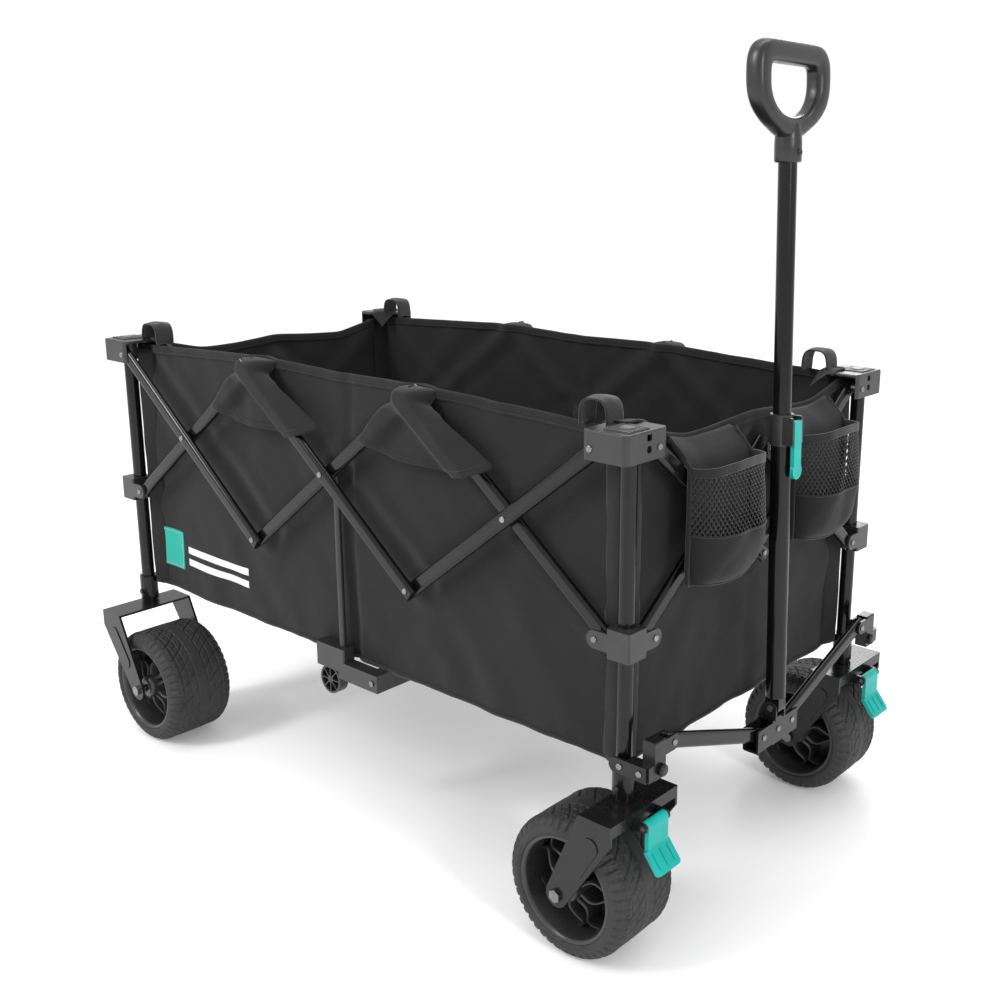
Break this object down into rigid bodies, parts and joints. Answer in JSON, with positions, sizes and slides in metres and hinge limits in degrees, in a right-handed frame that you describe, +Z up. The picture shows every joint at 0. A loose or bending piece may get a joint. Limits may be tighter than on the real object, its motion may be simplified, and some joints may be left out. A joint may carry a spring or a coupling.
{
  "type": "folding pull wagon",
  "caption": "Folding utility wagon: a black cloth tub on a scissor frame with wide wheels, front brakes, cup pockets and a telescopic pull handle.",
  "frame": {"origin": "on the ground, under the middle of the whole wagon", "axes": "+X towards the handle, +Y to the left, +Z up"},
  "size_m": [1.0461, 0.653, 1.0109],
  "materials": {
    "black_steel": "satin",
    "upright": "satin",
    "joint_plastic": "satin",
    "clamp_plastic": "satin",
    "grip": "satin",
    "teal_plastic": "satin",
    "wheel": "matte",
    "cloth": "matte",
    "pocket_cloth": "matte"
  },
  "bodies": {
    "rear_right_corner": {"rear_right_post": "black_steel", "rear_right_cap": "joint_plastic", "rear_right_fork": "black_steel", "right_cloth_wall": "cloth", "rear_cloth_wall": "cloth", "cloth_floor": "cloth"},
    "rear_left_corner": {"rear_left_post": "black_steel", "rear_left_cap": "joint_plastic", "rear_left_fork": "black_steel", "left_cloth_wall": "cloth"},
    "front_right_corner": {"front_right_post": "black_steel", "front_right_cap": "joint_plastic", "front_right_bracket": "black_steel", "front_cloth_wall": "cloth", "front_pockets": "pocket_cloth"},
    "front_left_corner": {"front_left_post": "black_steel", "front_left_cap": "joint_plastic", "front_left_bracket": "black_steel"},
    "front_right_slider": {"front_right_slider": "joint_plastic"},
    "front_left_slider": {"front_left_slider": "joint_plastic"},
    "rear_right_slider": {"rear_right_slider": "joint_plastic"},
    "rear_left_slider": {"rear_left_slider": "joint_plastic"},
    "right_bar_a1": {"right_bar_a1": "black_steel"},
    "right_bar_b1": {"right_bar_b1": "black_steel"},
    "right_bar_a2": {"right_bar_a2": "black_steel"},
    "right_bar_b2": {"right_bar_b2": "black_steel"},
    "right_bar_a3": {"right_bar_a3": "black_steel"},
    "right_bar_b3": {"right_bar_b3": "black_steel"},
    "right_upright": {"right_upright": "upright"},
    "left_bar_a1": {"left_bar_a1": "black_steel"},
    "left_bar_b1": {"left_bar_b1": "black_steel"},
    "left_bar_a2": {"left_bar_a2": "black_steel"},
    "left_bar_b2": {"left_bar_b2": "black_steel"},
    "left_bar_a3": {"left_bar_a3": "black_steel"},
    "left_bar_b3": {"left_bar_b3": "black_steel"},
    "left_upright": {"left_upright": "upright"},
    "front_bar_e1": {"front_bar_e1": "black_steel"},
    "front_bar_f1": {"front_bar_f1": "black_steel"},
    "front_bar_e2": {"front_bar_e2": "black_steel"},
    "front_bar_f2": {"front_bar_f2": "black_steel"},
    "rear_bar_e1": {"rear_bar_e1": "black_steel"},
    "rear_bar_f1": {"rear_bar_f1": "black_steel"},
    "rear_bar_e2": {"rear_bar_e2": "black_steel"},
    "rear_bar_f2": {"rear_bar_f2": "black_steel"},
    "right_draw_arm": {"right_draw_arm": "black_steel"},
    "left_draw_arm": {"left_draw_arm": "black_steel"},
    "draw_yoke": {"draw_yoke": "black_steel"},
    "handle_lower": {"handle_lower_tube": "black_steel", "handle_clamp": "clamp_plastic"},
    "handle_clamp_lever": {"handle_clamp_lever": "teal_plastic"},
    "handle_upper": {"handle_upper_tube": "black_steel", "handle_grip": "grip"},
    "front_right_fork": {"front_right_fork": "black_steel"},
    "front_right_pedal": {"front_right_pedal": "teal_plastic"},
    "front_left_fork": {"front_left_fork": "black_steel"},
    "front_left_pedal": {"front_left_pedal": "teal_plastic"},
    "front_right_wheel": {"front_right_wheel": "wheel"},
    "front_left_wheel": {"front_left_wheel": "wheel"},
    "rear_right_wheel": {"rear_right_wheel": "wheel"},
    "rear_left_wheel": {"rear_left_wheel": "wheel"}
  },
  "joints": [
    {"name": "frame_fold", "type": "hinge", "parent": "rear_right_corner", "child": "right_bar_a1", "pos_m": [-0.4724, -0.25, 0.594], "axis": [0, 1, 0], "range_deg": [0, 30.5], "deforming": ["right_cloth_wall", "left_cloth_wall", "front_cloth_wall", "rear_cloth_wall", "cloth_floor", "front_pockets"]},
    {"name": "right_bar_b1_at_rear_cross", "type": "hinge", "parent": "right_bar_a1", "child": "right_bar_b1", "pos_m": [-0.33436, -0.25, 0.48808], "axis": [0, 1, 0], "range_deg": [-61.5, 0]},
    {"name": "rear_right_slider_rivet", "type": "hinge", "parent": "right_bar_b1", "child": "rear_right_slider", "pos_m": [-0.4724, -0.25, 0.38215], "axis": [0, 1, 0], "range_deg": [0, 31]},
    {"name": "right_bar_b2_at_rear_lower_rivet", "type": "hinge", "parent": "right_bar_a1", "child": "right_bar_b2", "pos_m": [-0.17838, -0.25, 0.36839], "axis": [0, 1, 0], "range_deg": [-61.5, 0]},
    {"name": "right_bar_a2_at_middle_cross", "type": "hinge", "parent": "right_bar_b2", "child": "right_bar_a2", "pos_m": [-0.0224, -0.25, 0.48808], "axis": [0, 1, 0], "range_deg": [0, 61.5]},
    {"name": "right_bar_b3_at_front_lower_rivet", "type": "hinge", "parent": "right_bar_a2", "child": "right_bar_b3", "pos_m": [0.13358, -0.25, 0.36839], "axis": [0, 1, 0], "range_deg": [-61.5, 0]},
    {"name": "right_bar_a3_at_front_cross", "type": "hinge", "parent": "right_bar_b3", "child": "right_bar_a3", "pos_m": [0.28956, -0.25, 0.48808], "axis": [0, 1, 0], "range_deg": [0, 61.5]},
    {"name": "front_right_cap_rivet", "type": "hinge", "parent": "right_bar_b3", "child": "front_right_corner", "pos_m": [0.4276, -0.25, 0.594], "axis": [0, 1, 0], "range_deg": [0, 31]},
    {"name": "front_right_slider_rivet", "type": "hinge", "parent": "right_bar_a3", "child": "front_right_slider", "pos_m": [0.4276, -0.25, 0.38215], "axis": [0, 1, 0], "range_deg": [-31, 0]},
    {"name": "right_upright_rivet", "type": "hinge", "parent": "right_bar_a2", "child": "right_upright", "pos_m": [-0.0224, -0.25, 0.48808], "axis": [0, 1, 0], "range_deg": [-31, 0]},
    {"name": "rear_bar_e1_at_right_cap", "type": "hinge", "parent": "rear_right_corner", "child": "rear_bar_e1", "pos_m": [-0.50665, -0.223, 0.594], "axis": [1, 0, 0], "range_deg": [-31, 0]},
    {"name": "rear_bar_f1_at_right_cross", "type": "hinge", "parent": "rear_bar_e1", "child": "rear_bar_f1", "pos_m": [-0.50665, -0.08496, 0.48808], "axis": [1, 0, 0], "range_deg": [0, 61.5]},
    {"name": "rear_bar_f2_at_lower_rivet", "type": "hinge", "parent": "rear_bar_e1", "child": "rear_bar_f2", "pos_m": [-0.50665, 0, 0.42289], "axis": [1, 0, 0], "range_deg": [0, 61.5]},
    {"name": "rear_bar_e2_at_left_cross", "type": "hinge", "parent": "rear_bar_f2", "child": "rear_bar_e2", "pos_m": [-0.50665, 0.08496, 0.48808], "axis": [1, 0, 0], "range_deg": [-61.5, 0]},
    {"name": "rear_left_cap_rivet", "type": "hinge", "parent": "rear_bar_f2", "child": "rear_left_corner", "pos_m": [-0.5014, 0.223, 0.594], "axis": [1, 0, 0], "range_deg": [-31, 0]},
    {"name": "left_bar_a1_at_rear_cap", "type": "hinge", "parent": "rear_left_corner", "child": "left_bar_a1", "pos_m": [-0.4724, 0.25, 0.594], "axis": [0, 1, 0], "range_deg": [0, 31]},
    {"name": "left_bar_b1_at_rear_cross", "type": "hinge", "parent": "left_bar_a1", "child": "left_bar_b1", "pos_m": [-0.33436, 0.25, 0.48808], "axis": [0, 1, 0], "range_deg": [-61.5, 0]},
    {"name": "rear_left_slider_rivet", "type": "hinge", "parent": "left_bar_b1", "child": "rear_left_slider", "pos_m": [-0.4724, 0.25, 0.38215], "axis": [0, 1, 0], "range_deg": [0, 31]},
    {"name": "left_bar_b2_at_rear_lower_rivet", "type": "hinge", "parent": "left_bar_a1", "child": "left_bar_b2", "pos_m": [-0.17838, 0.25, 0.36839], "axis": [0, 1, 0], "range_deg": [-61.5, 0]},
    {"name": "left_bar_a2_at_middle_cross", "type": "hinge", "parent": "left_bar_b2", "child": "left_bar_a2", "pos_m": [-0.0224, 0.25, 0.48808], "axis": [0, 1, 0], "range_deg": [0, 61.5]},
    {"name": "left_bar_b3_at_front_lower_rivet", "type": "hinge", "parent": "left_bar_a2", "child": "left_bar_b3", "pos_m": [0.13358, 0.25, 0.36839], "axis": [0, 1, 0], "range_deg": [-61.5, 0]},
    {"name": "left_bar_a3_at_front_cross", "type": "hinge", "parent": "left_bar_b3", "child": "left_bar_a3", "pos_m": [0.28956, 0.25, 0.48808], "axis": [0, 1, 0], "range_deg": [0, 61.5]},
    {"name": "front_left_cap_rivet", "type": "hinge", "parent": "left_bar_b3", "child": "front_left_corner", "pos_m": [0.4276, 0.25, 0.594], "axis": [0, 1, 0], "range_deg": [0, 31]},
    {"name": "front_left_slider_rivet", "type": "hinge", "parent": "left_bar_a3", "child": "front_left_slider", "pos_m": [0.4276, 0.25, 0.38215], "axis": [0, 1, 0], "range_deg": [-31, 0]},
    {"name": "left_upright_rivet", "type": "hinge", "parent": "left_bar_a2", "child": "left_upright", "pos_m": [-0.0224, 0.25, 0.48808], "axis": [0, 1, 0], "range_deg": [-31, 0]},
    {"name": "front_bar_e1_at_right_cap", "type": "hinge", "parent": "front_right_corner", "child": "front_bar_e1", "pos_m": [0.46185, -0.223, 0.594], "axis": [1, 0, 0], "range_deg": [-31, 0]},
    {"name": "front_bar_f1_at_right_cross", "type": "hinge", "parent": "front_bar_e1", "child": "front_bar_f1", "pos_m": [0.46185, -0.08496, 0.48808], "axis": [1, 0, 0], "range_deg": [0, 61.5]},
    {"name": "front_bar_f2_at_lower_rivet", "type": "hinge", "parent": "front_bar_e1", "child": "front_bar_f2", "pos_m": [0.46185, 0, 0.42289], "axis": [1, 0, 0], "range_deg": [0, 61.5]},
    {"name": "front_bar_e2_at_left_cross", "type": "hinge", "parent": "front_bar_f2", "child": "front_bar_e2", "pos_m": [0.46185, 0.08496, 0.48808], "axis": [1, 0, 0], "range_deg": [-61.5, 0]},
    {"name": "right_draw_arm_at_bracket", "type": "hinge", "parent": "front_right_corner", "child": "right_draw_arm", "pos_m": [0.4926, -0.218, 0.266], "axis": [1, 0, 0], "range_deg": [-51.44, 0]},
    {"name": "left_draw_arm_at_bracket", "type": "hinge", "parent": "front_left_corner", "child": "left_draw_arm", "pos_m": [0.4926, 0.218, 0.266], "axis": [1, 0, 0], "range_deg": [0, 51.44]},
    {"name": "draw_yoke_rivet", "type": "hinge", "parent": "right_draw_arm", "child": "draw_yoke", "pos_m": [0.4926, -0.033, 0.2], "axis": [1, 0, 0], "range_deg": [0, 51.44]},
    {"name": "handle_pivot", "type": "hinge", "parent": "draw_yoke", "child": "handle_lower", "pos_m": [0.498, 0, 0.23], "axis": [0, 1, 0], "range_deg": [0, 90]},
    {"name": "handle_telescope", "type": "slide", "parent": "handle_lower", "child": "handle_upper", "axis": [-0.0279, 0, 0.9996], "range_m": [-0.28, 0]},
    {"name": "handle_clamp_lever_pivot", "type": "hinge", "parent": "handle_lower", "child": "handle_clamp_lever", "pos_m": [0.50602, 0, 0.58736], "axis": [0, -1, 0], "range_deg": [0, 95]},
    {"name": "front_right_caster_swivel", "type": "hinge", "parent": "front_right_corner", "child": "front_right_fork", "pos_m": [0.4566, -0.25, 0.197], "axis": [0, 0, 1], "continuous": true},
    {"name": "front_right_brake_pedal_pivot", "type": "hinge", "parent": "front_right_fork", "child": "front_right_pedal", "pos_m": [0.4996, -0.25, 0.184], "axis": [0, 1, 0], "range_deg": [0, 18]},
    {"name": "front_right_wheel_spin", "type": "hinge", "parent": "front_right_fork", "child": "front_right_wheel", "pos_m": [0.4106, -0.25, 0.086], "axis": [0, 1, 0], "continuous": true},
    {"name": "front_left_caster_swivel", "type": "hinge", "parent": "front_left_corner", "child": "front_left_fork", "pos_m": [0.4566, 0.25, 0.197], "axis": [0, 0, 1], "continuous": true},
    {"name": "front_left_brake_pedal_pivot", "type": "hinge", "parent": "front_left_fork", "child": "front_left_pedal", "pos_m": [0.4996, 0.25, 0.184], "axis": [0, 1, 0], "range_deg": [0, 18]},
    {"name": "front_left_wheel_spin", "type": "hinge", "parent": "front_left_fork", "child": "front_left_wheel", "pos_m": [0.4106, 0.25, 0.086], "axis": [0, 1, 0], "continuous": true},
    {"name": "rear_right_wheel_spin", "type": "hinge", "parent": "rear_right_corner", "child": "rear_right_wheel", "pos_m": [-0.4314, -0.262, 0.086], "axis": [0, 1, 0], "continuous": true},
    {"name": "rear_left_wheel_spin", "type": "hinge", "parent": "rear_left_corner", "child": "rear_left_wheel", "pos_m": [-0.4314, 0.262, 0.086], "axis": [0, 1, 0], "continuous": true}
  ],
  "couplings": [
    {"joint": "right_bar_b1_at_rear_cross", "follows": "frame_fold", "ratio": -2},
    {"joint": "rear_right_slider_rivet", "follows": "frame_fold", "ratio": 1},
    {"joint": "right_bar_b2_at_rear_lower_rivet", "follows": "frame_fold", "ratio": -2},
    {"joint": "right_bar_a2_at_middle_cross", "follows": "frame_fold", "ratio": 2},
    {"joint": "right_bar_b3_at_front_lower_rivet", "follows": "frame_fold", "ratio": -2},
    {"joint": "right_bar_a3_at_front_cross", "follows": "frame_fold", "ratio": 2},
    {"joint": "front_right_cap_rivet", "follows": "frame_fold", "ratio": 1},
    {"joint": "front_right_slider_rivet", "follows": "frame_fold", "ratio": -1},
    {"joint": "right_upright_rivet", "follows": "frame_fold", "ratio": -1},
    {"joint": "rear_bar_e1_at_right_cap", "follows": "frame_fold", "ratio": -1},
    {"joint": "rear_bar_f1_at_right_cross", "follows": "frame_fold", "ratio": 2},
    {"joint": "rear_bar_f2_at_lower_rivet", "follows": "frame_fold", "ratio": 2},
    {"joint": "rear_bar_e2_at_left_cross", "follows": "frame_fold", "ratio": -2},
    {"joint": "rear_left_cap_rivet", "follows": "frame_fold", "ratio": -1},
    {"joint": "left_bar_a1_at_rear_cap", "follows": "frame_fold", "ratio": 1},
    {"joint": "left_bar_b1_at_rear_cross", "follows": "frame_fold", "ratio": -2},
    {"joint": "rear_left_slider_rivet", "follows": "frame_fold", "ratio": 1},
    {"joint": "left_bar_b2_at_rear_lower_rivet", "follows": "frame_fold", "ratio": -2},
    {"joint": "left_bar_a2_at_middle_cross", "follows": "frame_fold", "ratio": 2},
    {"joint": "left_bar_b3_at_front_lower_rivet", "follows": "frame_fold", "ratio": -2},
    {"joint": "left_bar_a3_at_front_cross", "follows": "frame_fold", "ratio": 2},
    {"joint": "front_left_cap_rivet", "follows": "frame_fold", "ratio": 1},
    {"joint": "front_left_slider_rivet", "follows": "frame_fold", "ratio": -1},
    {"joint": "left_upright_rivet", "follows": "frame_fold", "ratio": -1},
    {"joint": "front_bar_e1_at_right_cap", "follows": "frame_fold", "ratio": -1},
    {"joint": "front_bar_f1_at_right_cross", "follows": "frame_fold", "ratio": 2},
    {"joint": "front_bar_f2_at_lower_rivet", "follows": "frame_fold", "ratio": 2},
    {"joint": "front_bar_e2_at_left_cross", "follows": "frame_fold", "ratio": -2},
    {"joint": "right_draw_arm_at_bracket", "follows": "frame_fold", "ratio": -1.67},
    {"joint": "left_draw_arm_at_bracket", "follows": "frame_fold", "ratio": 1.67},
    {"joint": "draw_yoke_rivet", "follows": "frame_fold", "ratio": 1.67}
  ]
}
